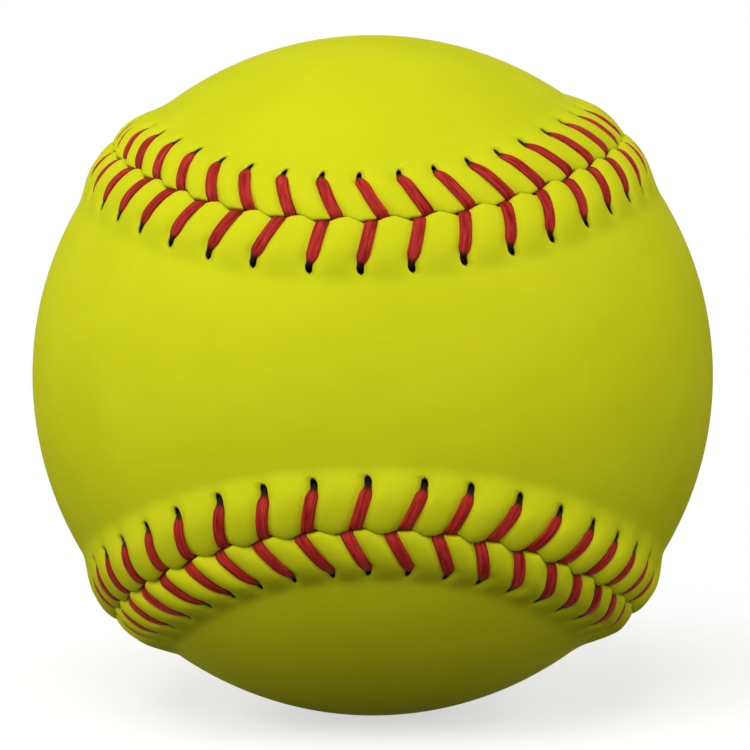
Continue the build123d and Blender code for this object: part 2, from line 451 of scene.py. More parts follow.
class SewnEdge:
    """Height and place of the leather beside the seam, stitch by stitch, as unevenly as hands sew it."""

    def __init__(self, ball, seam_sizes):
        self.line = SeamLine(ball)
        self.sizes = seam_sizes
        self.count = 8 * ball.stitches_in_an_eighth
        self.pitch = self.line.length / self.count
        draw = np.random.default_rng(SEWING_SEED)
        self.lean_change = {side: draw.normal(0, LEAN_SPREAD, self.count) for side in PANELS}
        self.hole_shift = {side: draw.normal(0, HOLE_SHIFT_SPREAD, self.count) for side in PANELS}
        self.hole_drift = {side: draw.normal(0, HOLE_DRIFT_SPREAD, self.count) for side in PANELS}
        self.puff = {side: draw.normal(1, PUFF_SPREAD, self.count) for side in PANELS}
        self.waves = draw.normal(0, 1, (HOLLOW_WAVES, 3))
        self.wave_starts = draw.uniform(0, 2 * pi, HOLLOW_WAVES)

    def lean(self, side):
        """How far a half-stitch runs forward from its hole to the gap."""
        spacing = self.sizes.thread_spacing if side == FRONT else 0
        return self.sizes.stitch_lean - spacing

    def round_the_seam(self, along):
        """Angle that makes one turn over the whole seam."""
        return 2 * pi * along / self.line.length

    def wander(self, along):
        """Slow drift of the stitches along the seam."""
        turn = self.round_the_seam(along)
        return STITCH_WANDER * np.sin(2 * turn) - STITCH_LAG * (1 - np.cos(turn))

    def reach(self, side, along):
        """How much further in than usual a hole is sewn: those of the back panel wander slowly."""
        turn = self.round_the_seam(along)
        further = HOLE_WANDER * np.sin(2 * turn - HOLE_WANDER_START) + HOLE_WANDER_ONCE * np.cos(turn)
        return further * (side == BACK)

    def at_waist(self, along):
        """1 at the four waists, falling to -1 at the side crossings."""
        return np.cos(2 * pi * along / self.line.quarter_length)

    def near_stitch(self, phase):
        """1 on the line of a stitch, falling to 0 halfway to the next."""
        return np.cos(np.clip(phase / self.pitch, -0.5, 0.5) * pi) ** 2

    def along(self, side, stitch, phase, inset):
        """Distance along the seam of a line that follows the stitch from its hole to the gap."""
        sizes = self.sizes
        share = np.clip(1 - inset / sizes.slit_start, 0, 1)
        change = self.lean_change[side][stitch] * share + self.hole_shift[side][stitch] * (1 - share)
        from_hole = (inset - sizes.slit_start - sizes.slit_length / 2) / SIDESTEP_REACH
        change = change - sizes.slit_side * np.exp(-from_hole ** 2)
        start = stitch * self.pitch + phase
        return start + self.wander(start) + self.lean(side) * share + change * self.near_stitch(phase)

    def crease(self, along):
        """Sideways swing of the crease, and half the opening between the panels."""
        along = along - self.wander(along)
        middle = self.sizes.stitch_lean - self.sizes.thread_spacing / 2
        turn = 2 * pi * (along - middle) / self.pitch
        swing = self.sizes.crease_wave * np.sin(turn - CREASE_SKEW * np.sin(turn))
        from_middle = np.abs(np.mod(along - middle + self.pitch / 2, self.pitch) - self.pitch / 2)
        opening = 1 - smooth_step(from_middle, *GAP_CLOSES)
        return swing, CLOSED_HALF_GAP + (OPEN_HALF_GAP - CLOSED_HALF_GAP) * opening

    def offset(self, side, along, inset):
        """Signed distance across the seam of a point that lies so far in from its panel's edge."""
        swing, opening = self.crease(along)
        fade = 1 - smooth_step(inset, *CREASE_FADES)
        begun = smooth_step(inset, HOLE_WANDER_BEGINS, self.sizes.slit_start)
        at_hole = begun * (1 - smooth_step(inset, *HOLE_WANDER_FADES))
        return side * (inset + self.reach(side, along) * at_hole) + fade * (swing + side * opening)

    def swell(self, along):
        """Height and foot of the seam: lower and narrower at the waists, and lower at the top of the ball."""
        at_waist = self.at_waist(along)
        point, _ = self.line.frames(along)
        round_the_panel = 1 - LOWER_AT_WAIST * at_waist + HIGHER_BETWEEN * (1 - at_waist ** 2)
        height = self.sizes.height * round_the_panel * (1 - LOWER_AT_TOP * point[..., 2])
        return height, self.sizes.foot_offset - NARROWER_AT_WAIST * at_waist

    def pillow(self, along, inset, pull):
        """Section of the raised edge, with its rolled lip drawn further down by the pull of a thread."""
        sizes = self.sizes
        height, foot = self.swell(along)
        depth = sizes.edge_depth * (1 + LIP_PULL * pull) * height / sizes.height
        near = np.clip(inset / sizes.crest_offset, 0, 1)
        rolled = height - depth * (1 - (1 - (1 - near) ** 2) ** LIP_ROUNDNESS)
        far = np.clip((inset - sizes.crest_offset) / (foot - sizes.crest_offset), 0, 1)
        fullness = PILLOW_FULLNESS + FULLER_AT_WAIST * self.at_waist(along)
        return np.where(inset < sizes.crest_offset, rolled, height * (1 - far ** fullness) ** 2)

    def groove(self, phase, inset):
        """Depth that a thread presses into the leather between its hole and the gap."""
        slit_start = self.sizes.slit_start
        under_thread = 1 - smooth_step(np.abs(phase), *GROOVE_SIDES)
        along_thread = 1 - smooth_step(inset, slit_start + GROOVE_ENDS[0], slit_start + GROOVE_ENDS[1])
        return self.sizes.groove_depth * under_thread * along_thread * smooth_step(inset, *GROOVE_BEGINS)

    def dimple(self, phase, inset):
        """Depth of the hollow round a stitch hole."""
        from_hole = inset - self.sizes.slit_start - DIMPLE_PLACE
        return DIMPLE_DEPTH * np.exp(-(phase / DIMPLE_WIDTH) ** 2 - (from_hole / DIMPLE_LENGTH) ** 2)

    def furrow(self, phase, inset):
        """Depth of the fold that the pull of a stitch draws into the leather behind its hole."""
        beyond = inset - self.sizes.slit_start - self.sizes.slit_length / 2
        fade = smooth_step(beyond, *FURROW_BEGINS) * np.exp(-np.maximum(beyond, 0) / FURROW_LENGTH)
        return FURROW_DEPTH * np.exp(-(phase / FURROW_WIDTH) ** 2) * fade

    def height(self, side, stitch, phase, inset):
        """Rise of the leather above the ball."""
        on_stitch = self.near_stitch(phase)
        neighbour = np.where(phase >= 0, stitch, stitch - 1) % self.count
        puffed = 1 + (self.puff[side][neighbour] - 1) * (1 - on_stitch)
        pull = 1 - smooth_step(np.abs(phase), *LIP_PULL_FADES)
        start = stitch * self.pitch + phase
        sunk = SUNK_SHARE - LESS_SUNK_AT_WAIST * self.at_waist(start)
        rise = self.pillow(start, inset, pull) * puffed * (1 - sunk * on_stitch)
        return rise - self.groove(phase, inset) - self.dimple(phase, inset) - self.furrow(phase, inset)

    def unevenness(self, points):
        """Small hollows in the leather where the core and the stretch are not quite even."""
        turns = unit(points) @ (self.waves * HOLLOW_TURNS).T + self.wave_starts
        return HOLLOW_DEPTH * (np.cos(turns).mean(axis=-1) - 0.5)

    def surface(self, side, stitch, phase, inset):
        """Points on the outside of the leather."""
        along = self.along(side, stitch, phase, inset)
        radius = self.line.radius + self.height(side, stitch, phase, inset)
        points = self.line.place(along, self.offset(side, along, inset), radius)
        return points + unit(points) * self.unevenness(points)[..., None]

    def lining(self, side, stitch, phase, inset, radius):
        """Points on the inside of the leather."""
        along = self.along(side, stitch, phase, inset)
        return self.line.place(along, self.offset(side, along, inset), np.broadcast_to(radius, along.shape))


# Leather panels


class PanelMesh:
    """Vertices and faces of one closed leather panel."""

    def __init__(self, edge, side):
        self.edge = edge
        self.side = side
        self.points = []
        self.soil = []
        self.faces = []
        self.size = 0

    def add(self, points, soil):
        """Appends points and gives the index of each."""
        points = np.asarray(points)
        index = np.arange(self.size, self.size + points[..., 0].size).reshape(points.shape[:-1])
        self.points.append(points.reshape(-1, 3))
        self.soil.append(np.broadcast_to(soil, points.shape[:-1]).flatten())
        self.size += index.size
        return index

    def all_points(self):
        """Every point so far, in the order of the indices."""
        return np.concatenate(self.points)

    def columns(self):
        """Stitch number and phase of each column, and the columns to a stitch: close under the threads."""
        half = self.edge.pitch / 2
        slit = self.edge.sizes.slit_width / 2
        positive = np.concatenate([
            [0.0],
            spaced(slit, GROOVE_BANK, COLUMNS_BESIDE_THREAD),
            spaced(GROOVE_BANK, half, COLUMNS_ON_PILLOW),
        ])
        phase = np.concatenate([-positive[:0:-1], positive, [half]])
        stitch = np.repeat(np.arange(self.edge.count), len(phase))
        return stitch, np.tile(phase, self.edge.count), len(phase)

    def strip_rows(self):
        """Insets of the outside rows, from the rolled edge past the stitch holes, and of the lining's."""
        sizes = self.edge.sizes
        slit = sizes.slit_start + sizes.slit_length * np.arange(SLIT_ROWS + 1) / SLIT_ROWS
        past = slit[-1] + SLIT_MARGIN
        outside = np.concatenate([
            spaced(0, sizes.crest_offset, ROWS_ON_LIP, LIP_CROWDING),
            spaced(sizes.crest_offset, sizes.slit_start, ROWS_TO_SLIT),
            slit,
            past + spaced(0, STRIP_PAST_SLIT, ROWS_PAST_SLIT, STRIP_CROWDING),
        ])
        lining = np.concatenate([
            spaced(LINING_EDGE, sizes.slit_start, ROWS_OF_LINING), slit, [past + LINING_PAST_SLIT],
        ])
        return outside, lining

    def slit_outline(self, row, column, share):
        """Phase and inset of a corner of the slit's block, moved to a share of the slit's rounded outline."""
        sizes = self.edge.sizes
        across = 2 * column / SLIT_COLUMNS - 1
        length = 2 * row / SLIT_ROWS - 1
        phase = sizes.slit_width / 2 * sqrt(share) * across * sqrt(1 - length ** 2 / 2)
        inset = sizes.slit_start + sizes.slit_length / 2 * (1 + share * length * sqrt(1 - across ** 2 / 2))
        return phase, inset

    def shaped_grid(self, insets, slit_share):
        """Stitch, phase and inset of each corner of a strip, and the place of the slits in its grid."""
        stitch, phase, per_stitch = self.columns()
        grid_stitch = np.broadcast_to(stitch, (len(insets), len(stitch)))
        grid_phase = np.tile(phase, (len(insets), 1))
        grid_inset = np.tile(insets[:, None], (1, len(stitch)))
        first_row = int(np.argmin(np.abs(insets - self.edge.sizes.slit_start)))
        first_column = per_stitch // 2 - 1
        for row in range(SLIT_ROWS + 1):
            for column in range(SLIT_COLUMNS + 1):
                phase_here, inset_here = self.slit_outline(row, column, slit_share)
                grid_phase[first_row + row, first_column + column::per_stitch] = phase_here
                grid_inset[first_row + row, first_column + column::per_stitch] = inset_here
        drift = self.edge.hole_drift[self.side][grid_stitch] * self.edge.near_stitch(grid_phase)
        from_hole = insets - self.edge.sizes.slit_start - HOLE_DRIFT_PLACE
        grid_inset += drift * np.exp(-(from_hole / HOLE_DRIFT_REACH) ** 2)[:, None]
        return grid_stitch, grid_phase, grid_inset, first_row, first_column, per_stitch

    def strip_faces(self, index, first_row, first_column, per_stitch):
        """Four-sided faces of a strip, without those in the slits."""
        beside = np.roll(index, -1, axis=1)
        quads = np.stack([index[:-1], beside[:-1], beside[1:], index[1:]], axis=-1)
        keep = np.ones(quads.shape[:2], bool)
        for column in range(SLIT_COLUMNS):
            keep[first_row:first_row + SLIT_ROWS, first_column + column::per_stitch] = False
        return quads[keep]

    def slit_loop(self, index, first_row, first_column, per_stitch):
        """Indices round each slit, one row for each stitch."""
        steps = [(0, column) for column in range(SLIT_COLUMNS)]
        steps += [(row, SLIT_COLUMNS) for row in range(SLIT_ROWS)]
        steps += [(SLIT_ROWS, column) for column in range(SLIT_COLUMNS, 0, -1)]
        steps += [(row, 0) for row in range(SLIT_ROWS, 0, -1)]
        loops = [index[first_row + row, first_column + column::per_stitch] for row, column in steps]
        return np.stack(loops, axis=1)

    def join_loops(self, one, other):
        """Four-sided faces between two sets of closed loops, one loop to a row."""
        quads = np.stack([one, np.roll(one, -1, axis=1), np.roll(other, -1, axis=1), other], axis=-1)
        self.faces += quads.reshape(-1, 4).tolist()

    def fill_middle(self, border, inset, spacing, shape):
        """Triangles over the middle of the panel, inside a border loop."""
        line = self.edge.line
        rings = []
        for out, step in BORDER_RINGS:
            along = line.length * np.arange(0, len(border), step) / len(border)
            offset = np.full(len(along), self.side * (inset + out * spacing))
            rings.append(line.place(along, offset, np.ones(len(along))))
        rings.append(self.even_points(inset + (BORDER_RINGS[-1][0] + LAST_RING_TO_MIDDLE) * spacing, spacing))
        inner = np.concatenate(rings)
        loop = unit(self.all_points()[border])
        directions = np.concatenate([loop, inner])
        pole = np.array((0.0, -self.side, 0.0))
        shrink = 1 - directions @ pole
        flat = [Vector((x, z)) for x, z in zip(directions[:, 0] / shrink, directions[:, 2] / shrink)]
        rim = list(range(len(border)))
        doubled_area = sum(flat[one - 1].cross(flat[one]) for one in rim)
        rim = rim if doubled_area > 0 else rim[::-1]
        _, _, triangles, sources, _, inside = delaunay_2d_cdt(flat, [], [rim], 1, MERGE_DISTANCE, True)
        new = self.add(shape(inner), 0.0)
        index = np.concatenate([border, new.ravel()])
        source = [int(index[origin[0]]) for origin in sources]
        self.faces += [[source[corner] for corner in face] for face, mark in zip(triangles, inside) if mark]

    def even_points(self, inset, spacing):
        """Evenly spread directions that lie further into the panel than the inset."""
        line = self.edge.line
        count = int(4 * pi * line.radius ** 2 / (TRIANGLE_HEIGHT * spacing ** 2))
        number = np.arange(count) + 0.5
        height = 1 - 2 * number / count
        turn = pi * (1 + sqrt(5)) * number
        ring = np.sqrt(1 - height ** 2)
        directions = np.stack([ring * np.cos(turn), height, ring * np.sin(turn)], axis=-1)
        samples = int(line.length / SEAM_SAMPLE)
        along = line.length * np.arange(samples) / samples
        seam_points, toward_back = line.frames(along)
        tree = KDTree(samples)
        for sample, point in enumerate(seam_points):
            tree.insert(point, sample)
        tree.balance()
        nearest = np.array([tree.find(direction)[1] for direction in directions])
        across = (directions * toward_back[nearest]).sum(axis=-1)
        away = np.arccos(np.clip((directions * seam_points[nearest]).sum(axis=-1), -1, 1)) * line.radius
        return directions[away * np.sign(across) * self.side > inset]

    def slit_walls(self, outside, outside_slit, lining, lining_slit):
        """Walls of the stitch holes, from a rounded rim down to the lining."""
        top = self.slit_loop(outside, *outside_slit)
        bottom = self.slit_loop(lining, *lining_slit)
        points = self.all_points()
        upper = points[top]
        lower = points[bottom]
        middle = upper.mean(axis=1, keepdims=True)
        # The rim ring carries full painted shade, as do the walls from it down to the lining.
        rim = self.add(upper + (lower - upper) * RIM_DEPTH + (middle - upper) * RIM_DRAW_IN, 1.0)
        # The top loop of each slit gets lighter painted shade. The outside strip is the first batch of
        # points, so its painted shade has the same indices.
        self.soil[0][top.ravel()] = PAINTED_RIM_SHADE
        self.join_loops(top, rim)
        self.join_loops(rim, bottom)

    def ledge(self, inset):
        """Step from the tunnel's roof down to the cement, where the lining starts to lie on it."""
        stitch, phase, _ = self.columns()
        insets = np.full(len(stitch), inset)
        # Full painted shade on the ledge, as on the lining.
        return self.add(self.edge.lining(self.side, stitch, phase, insets, LINING_RADIUS), 1.0)

    def on_ball(self, directions):
        """Points on the outside of the leather, clear of the seam."""
        return directions * (self.edge.line.radius + self.edge.unevenness(directions))[:, None]

    def on_cement(self, directions):
        """Points on the inside of the leather, clear of the seam."""
        return directions * LINING_RADIUS

    def build(self):
        """Outside strip, rolled edge, lining strip, slit walls and the two middles."""
        outside_insets, lining_insets = self.strip_rows()
        stitch, phase, inset, *outside_slit = self.shaped_grid(outside_insets, 1.0)
        # Painted shade along the rolled edge, where the crease lies.
        soil = PAINTED_EDGE_SHADE * np.exp(-inset / PAINTED_EDGE_SHADE_REACH)
        outside = self.add(self.edge.surface(self.side, stitch, phase, inset), soil)
        stitch, phase, inset, *lining_slit = self.shaped_grid(lining_insets, LINING_SLIT_SHARE)
        roof = TUNNEL_ROOF + ROOF_RISE * np.exp(-inset / ROOF_RISE_REACH)
        # The lining, seen only through the stitch holes, carries full painted shade.
        lining = self.add(self.edge.lining(self.side, stitch, phase, inset, roof), 1.0)
        self.faces += self.strip_faces(outside, *outside_slit).tolist()
        self.faces += self.strip_faces(lining, *lining_slit)[:, ::-1].tolist()
        self.join_loops(lining[:1], outside[:1])
        self.slit_walls(outside, outside_slit, lining, lining_slit)
        ledge_inset = lining_insets[-1] + LEDGE_WIDTH
        ledge = self.ledge(ledge_inset)
        self.join_loops(ledge[None], lining[-1:])
        self.fill_middle(outside[-1], outside_insets[-1], MIDDLE_SPACING, self.on_ball)
        self.fill_middle(ledge, ledge_inset, LINING_SPACING, self.on_cement)


def new_mesh_object(name, points, faces):
    """A smooth mesh object with outward faces, and a mask of the points that its faces use."""
    used = np.zeros(len(points), bool)
    for face in faces:
        used[face] = True
    renumber = np.cumsum(used) - 1
    mesh = bpy.data.meshes.new(name)
    corners = [[int(renumber[corner]) for corner in face] for face in faces]
    mesh.from_pydata(points[used].tolist(), [], corners)
    mesh.validate()
    mesh.shade_smooth()
    outward_faces(mesh)
    piece = bpy.data.objects.new(name, mesh)
    bpy.context.scene.collection.objects.link(piece)
    return piece, used


def outward_faces(mesh):
    """Turns all faces so that they face out of the closed mesh."""
    work = bmesh.new()
    work.from_mesh(mesh)
    bmesh.ops.recalc_face_normals(work, faces=work.faces)
    work.to_mesh(mesh)
    work.free()


def store_value(mesh, name, values):
    """Keeps a number for each point, for the materials to read."""
    attribute = mesh.attributes.new(name, "FLOAT", "POINT")
    attribute.data.foreach_set("value", np.asarray(values, np.float32))


def leather_panel(edge, side):
    """One leather panel of the cover, as a closed mesh."""
    panel = PanelMesh(edge, side)
    panel.build()
    piece, used = new_mesh_object(PANELS[side] + "_leather", panel.all_points(), panel.faces)
    store_value(piece.data, "soil", np.concatenate(panel.soil)[used])
    return piece


# Threads


class ThreadPath:
    """Rows of points along one thread, from hole to gap to hole. A row has a point for every stitch."""

    def __init__(self, edge, first_side):
        self.edge = edge
        self.radius = edge.line.radius
        self.stitch = np.arange(edge.count)
        self.side = np.where(self.stitch % 2 == 0, first_side, -first_side)
        self.rows = []
        self.up_the_hole()
        self.over_the_leather()
        self.down_the_gap()
        self.under_the_cover()

    def by_side(self, function, *values):
        """What a function of the side gives for each stitch, on the panel where its half-stitch lies."""
        return np.where(self.side == BACK, function(BACK, *values), function(FRONT, *values))

    def along(self, inset):
        """Distance along the seam of each stitch's line."""
        return self.by_side(self.edge.along, self.stitch, 0.0, inset)

    def height(self, inset):
        """Rise of the leather under each stitch's line."""
        return self.by_side(self.edge.height, self.stitch, 0.0, inset)

    def offset(self, along, inset):
        """Distance across the seam of each stitch's line."""
        return self.by_side(self.edge.offset, along, inset)

    def add(self, *values):
        """Appends a row: along, offset, radius, half width, half thickness, and its painted shade."""
        self.rows.append([np.broadcast_to(value, self.stitch.shape) for value in values])

    def columns(self):
        """The values of all rows, in order along the thread."""
        return [np.stack(part, axis=1).ravel() for part in zip(*self.rows)]

    def up_the_hole(self):
        """From the run under the cover up through each hole."""
        drift = self.by_side(self.edge.hole_drift.get)
        for past, above in HOLE_RISE:
            inset = np.array(self.edge.sizes.slit_start + past * MM)
            along = self.along(inset)
            offset = self.offset(along, inset) + self.side * drift
            radius = UNDER_RUN if above is None else self.radius + self.height(inset) + above * MM
            widening = (RIM_HALF_WIDTH - HOLE_HALF_WIDTH) * smooth_step(-past, *HOLE_NARROWS)
            # Full painted shade on the thread inside its hole.
            self.add(along, offset, radius, HOLE_HALF_WIDTH + widening, HOLE_HALF_THICKNESS, 1.0)

    def over_the_leather(self):
        """From each hole to the gap, flat on the leather."""
        sizes = self.edge.sizes
        insets = np.concatenate([
            spaced(sizes.slit_start + LEAVES_HOLE, NEARS_LIP, THREAD_ROWS_ON_PILLOW),
            spaced(NEARS_LIP, LIP_INSET, THREAD_ROWS_ON_LIP),
        ])
        wider = sizes.thread_width / 2 - RIM_HALF_WIDTH
        thicker = sizes.thread_thickness / 2 - HOLE_HALF_THICKNESS
        for inset in insets:
            along = self.along(inset)
            height = self.height(inset)
            slope = (self.height(inset + LIP_INSET) - height) / LIP_INSET
            share = smooth_step(sizes.slit_start - inset, *SPREADS_FLAT)
            at_gap = smooth_step(-inset, *NEARS_GAP)
            half_width = RIM_HALF_WIDTH + wider * share + GAP_WIDENING * at_gap
            half_thickness = HOLE_HALF_THICKNESS + thicker * share - GAP_THINNING * at_gap
            lift = (half_thickness - PRESSED_IN) / np.sqrt(1 + slope ** 2)
            offset = self.offset(along, inset) - self.side * lift * slope
            # Painted shade on the thread: full where it nears its hole, and some near the gap.
            tucked = GAP_SHADE * at_gap + 1 - smooth_step(sizes.slit_start - inset, *COLOUR_BEGINS)
            self.add(along, offset, self.radius + height + lift, half_width, half_thickness, tucked)

    def down_the_gap(self):
        """Over the lip and down between the panels."""
        along, _, _, half_width, half_thickness, tucked = self.rows[-1]
        lip = self.radius + self.height(LIP_INSET)
        lip_offset = self.offset(along, LIP_INSET)
        for turn in LIP_TURNS:
            offset = lip_offset - self.side * half_thickness * sin(turn)
            self.add(along, offset, lip + half_thickness * cos(turn), half_width, half_thickness, tucked)
        offset = lip_offset - self.side * half_thickness
        for radius in (lip - BELOW_LIP, self.radius - BELOW_BALL, UNDER_RUN + ABOVE_RUN):
            # Painted shade on the thread down in the gap.
            self.add(along, offset, radius, half_width, half_thickness, IN_GAP_SHADE)

    def under_the_cover(self):
        """From the gap through the tunnel to the next hole, on the other side."""
        hole = self.rows[0][0]
        gap = self.rows[-1][0]
        next_hole = np.append(hole[1:], hole[0] + self.edge.line.length)
        for share in RUN_SHARES:
            along = gap + (next_hole - gap) * share
            offset = -self.side * share * (self.edge.sizes.slit_start + RUN_PAST_SLIT)
            # Full painted shade on the thread under the cover.
            self.add(along, offset, UNDER_RUN, RUN_HALF_WIDTH, RUN_HALF_THICKNESS, 1.0)


def flattened(value, roundness):
    """A sine or cosine drawn out towards 1 and -1, which makes a circle squarer."""
    return np.sign(value) * np.abs(value) ** roundness


def thread_mesh(edge, first_side):
    """Rings of a flattened thread along its whole path, closed at both ends, which lie under the cover."""
    along, offset, radius, half_width, half_thickness, tucked = ThreadPath(edge, first_side).columns()
    path = edge.line.place(along, offset, radius)
    for _ in range(SMOOTHING_PASSES):
        path[1:-1] = (path[:-2] + 2 * path[1:-1] + path[2:]) / 4
    ahead = unit(np.gradient(path, axis=0))
    point, toward_back = edge.line.frames(along)
    along_seam = np.cross(toward_back, point)
    across = unit(along_seam - ahead * (along_seam * ahead).sum(axis=-1, keepdims=True))
    up = np.cross(ahead, across)
    travelled = np.concatenate([[0], np.cumsum(np.linalg.norm(np.diff(path, axis=0), axis=-1))])
    angle = 2 * pi * np.arange(THREAD_SIDES) / THREAD_SIDES
    ridge = 1 + STRAND_RIDGE * np.cos(STRANDS * angle[None, :] + travelled[:, None] / STRAND_TWIST)
    width = half_width[:, None] * flattened(np.cos(angle), SIDE_ROUNDNESS) * ridge
    thickness = half_thickness[:, None] * flattened(np.sin(angle), TOP_ROUNDNESS) * ridge
    rings = path[:, None, :] + width[..., None] * across[:, None, :] + thickness[..., None] * up[:, None, :]
    index = np.arange(rings.shape[0] * THREAD_SIDES).reshape(rings.shape[:2])
    beside = np.roll(index, -1, axis=1)
    quads = np.stack([index[:-1], beside[:-1], beside[1:], index[1:]], axis=-1).reshape(-1, 4).tolist()
    caps = [index[0, ::-1].tolist(), index[-1].tolist()]
    piece, _ = new_mesh_object(THREADS[first_side] + "_flat", rings.reshape(-1, 3), quads + caps)
    store_value(piece.data, "tucked", np.repeat(tucked, THREAD_SIDES))
    store_fibre(piece.data, angle, travelled)
    return piece


def store_fibre(mesh, angle, travelled):
    """Keeps a place for each point, round the thread and slowly along it, for fibres that lie along it."""
    shape = (len(travelled), len(angle))
    parts = (np.cos(angle), np.sin(angle), travelled[:, None] / FIBRE_LENGTH)
    fibre = np.stack([np.broadcast_to(part, shape) for part in parts], axis=-1)
    attribute = mesh.attributes.new("fibre", "FLOAT_VECTOR", "POINT")
    attribute.data.foreach_set("vector", fibre.astype(np.float32).ravel())


# Node groups


def add_node(tree, kind, label, **values):
    """A shader node with its properties and its unlinked inputs set."""
    node = tree.nodes.new(kind)
    node.label = label
    for name, value in values.items():
        if hasattr(node, name):
            setattr(node, name, value)
        else:
            node.inputs[name.replace("_", " ")].default_value = value
    return node


def new_group(name, inputs, outputs):
    """An empty shader node group with named sockets."""
    group = bpy.data.node_groups.new(name, "ShaderNodeTree")
    for socket, kind, default in inputs:
        made = group.interface.new_socket(name=socket, in_out="INPUT", socket_type=kind)
        if default is not None:
            made.default_value = default
    for socket, kind in outputs:
        group.interface.new_socket(name=socket, in_out="OUTPUT", socket_type=kind)
    entry = group.nodes.new("NodeGroupInput")
    leave = group.nodes.new("NodeGroupOutput")
    return group, entry, leave


def grain_group():
    """Hide grain: small cells with soft pores, as a height and a mask of the pores."""
    group, entry, leave = new_group(
        "Hide Grain",
        [("Vector", "NodeSocketVector", None), ("Cell Scale", "NodeSocketFloat", 900.0),
         ("Pore Scale", "NodeSocketFloat", 2200.0)],
        [("Height", "NodeSocketFloat"), ("Pores", "NodeSocketFloat")],
    )
    link = group.links.new
    cells = add_node(
        group, "ShaderNodeTexVoronoi", "Cells", feature="SMOOTH_F1", Randomness=1.0, Smoothness=0.6,
    )
    link(entry.outputs["Vector"], cells.inputs["Vector"])
    link(entry.outputs["Cell Scale"], cells.inputs["Scale"])
    fine = add_node(group, "ShaderNodeTexNoise", "Fine", Detail=4.0, Roughness=0.6)
    link(entry.outputs["Vector"], fine.inputs["Vector"])
    link(entry.outputs["Pore Scale"], fine.inputs["Scale"])
    pores = add_node(group, "ShaderNodeMapRange", "Pore mask", From_Min=0.62, From_Max=0.74)
    link(fine.outputs["Fac"], pores.inputs["Value"])
    raised = add_node(group, "ShaderNodeMath", "Cells and fine grain", operation="ADD")
    link(cells.outputs["Distance"], raised.inputs[0])
    link(fine.outputs["Fac"], raised.inputs[1])
    sunk = add_node(group, "ShaderNodeMath", "Sunk pores", operation="SUBTRACT")
    link(raised.outputs[0], sunk.inputs[0])
    link(pores.outputs["Result"], sunk.inputs[1])
    link(sunk.outputs[0], leave.inputs["Height"])
    link(pores.outputs["Result"], leave.inputs["Pores"])
    return group


def mottle_group():
    """Uneven colour: a cloudy drift from one colour to another, and the drift itself as a value."""
    group, entry, leave = new_group(
        "Mottle",
        [("Vector", "NodeSocketVector", None), ("Colour", "NodeSocketColor", (0.5, 0.5, 0.5, 1)),
         ("Shade", "NodeSocketColor", (0.4, 0.4, 0.4, 1)), ("Scale", "NodeSocketFloat", 60.0),
         ("Amount", "NodeSocketFloat", 0.5)],
        [("Colour", "NodeSocketColor"), ("Value", "NodeSocketFloat")],
    )
    link = group.links.new
    drift = add_node(group, "ShaderNodeTexNoise", "Drift", Detail=5.0, Roughness=0.62, Distortion=0.4)
    link(entry.outputs["Vector"], drift.inputs["Vector"])
    link(entry.outputs["Scale"], drift.inputs["Scale"])
    spread = add_node(group, "ShaderNodeMapRange", "Spread", From_Min=0.35, From_Max=0.68)
    link(drift.outputs["Fac"], spread.inputs["Value"])
    amount = add_node(group, "ShaderNodeMath", "Amount", operation="MULTIPLY")
    link(spread.outputs["Result"], amount.inputs[0])
    link(entry.outputs["Amount"], amount.inputs[1])
    blend = add_node(group, "ShaderNodeMix", "Colour or shade", data_type="RGBA")
    link(amount.outputs[0], blend.inputs["Factor"])
    link(entry.outputs["Colour"], blend.inputs[6])
    link(entry.outputs["Shade"], blend.inputs[7])
    link(blend.outputs[2], leave.inputs["Colour"])
    link(spread.outputs["Result"], leave.inputs["Value"])
    return group


def group_node(tree, name, maker, label, place, **values):
    """A shared node group in a material, made when it is first asked for."""
    node = tree.nodes.new("ShaderNodeGroup")
    node.node_tree = bpy.data.node_groups.get(name) or maker()
    node.label = label
    for socket, value in values.items():
        node.inputs[socket.replace("_", " ")].default_value = value
    tree.links.new(place, node.inputs["Vector"])
    return node


def mottled(tree, label, place, colour, shade, scale, amount):
    """Uneven colour over a surface."""
    return group_node(
        tree, "Mottle", mottle_group, label, place,
        Colour=opaque(colour), Shade=opaque(shade), Scale=scale, Amount=amount,
    )


def grained(tree, label, place, cell_scale, pore_scale):
    """Grain over a surface."""
    return group_node(
        tree, "Hide Grain", grain_group, label, place, Cell_Scale=cell_scale, Pore_Scale=pore_scale,
    )


# Materials


def new_material(name):
    """An empty node material with a Principled shader on its output."""
    material = bpy.data.materials.new(name)
    material.use_nodes = True
    tree = material.node_tree
    tree.nodes.clear()
    shader = tree.nodes.new("ShaderNodeBsdfPrincipled")
    output = tree.nodes.new("ShaderNodeOutputMaterial")
    tree.links.new(shader.outputs["BSDF"], output.inputs["Surface"])
    return material, tree, shader


def object_place(tree):
    """Place of each point in the piece's own frame."""
    return tree.nodes.new("ShaderNodeTexCoord").outputs["Object"]


def opaque(colour):
    """The colour with full alpha."""
    return (*colour, 1.0)


def darker(colour, share):
    """The colour at a share of its brightness."""
    return [share * part for part in colour]


def blended(tree, label, factor, one, other_colour):
    """A colour node that goes from one colour to another by a factor socket."""
    mix = add_node(tree, "ShaderNodeMix", label, data_type="RGBA")
    tree.links.new(factor, mix.inputs["Factor"])
    tree.links.new(one, mix.inputs[6])
    mix.inputs[7].default_value = opaque(other_colour)
    return mix.outputs[2]


def ranged(tree, label, value, low, high):
    """A value from 0 to 1 stretched to run from low to high."""
    node = add_node(tree, "ShaderNodeMapRange", label, To_Min=low, To_Max=high)
    tree.links.new(value, node.inputs["Value"])
    return node.outputs["Result"]


def bumped(tree, shader, height, strength, distance):
    """Small relief from a height socket."""
    bump = add_node(tree, "ShaderNodeBump", "Relief", Strength=strength, Distance=distance)
    tree.links.new(height, bump.inputs["Height"])
    tree.links.new(bump.outputs["Normal"], shader.inputs["Normal"])


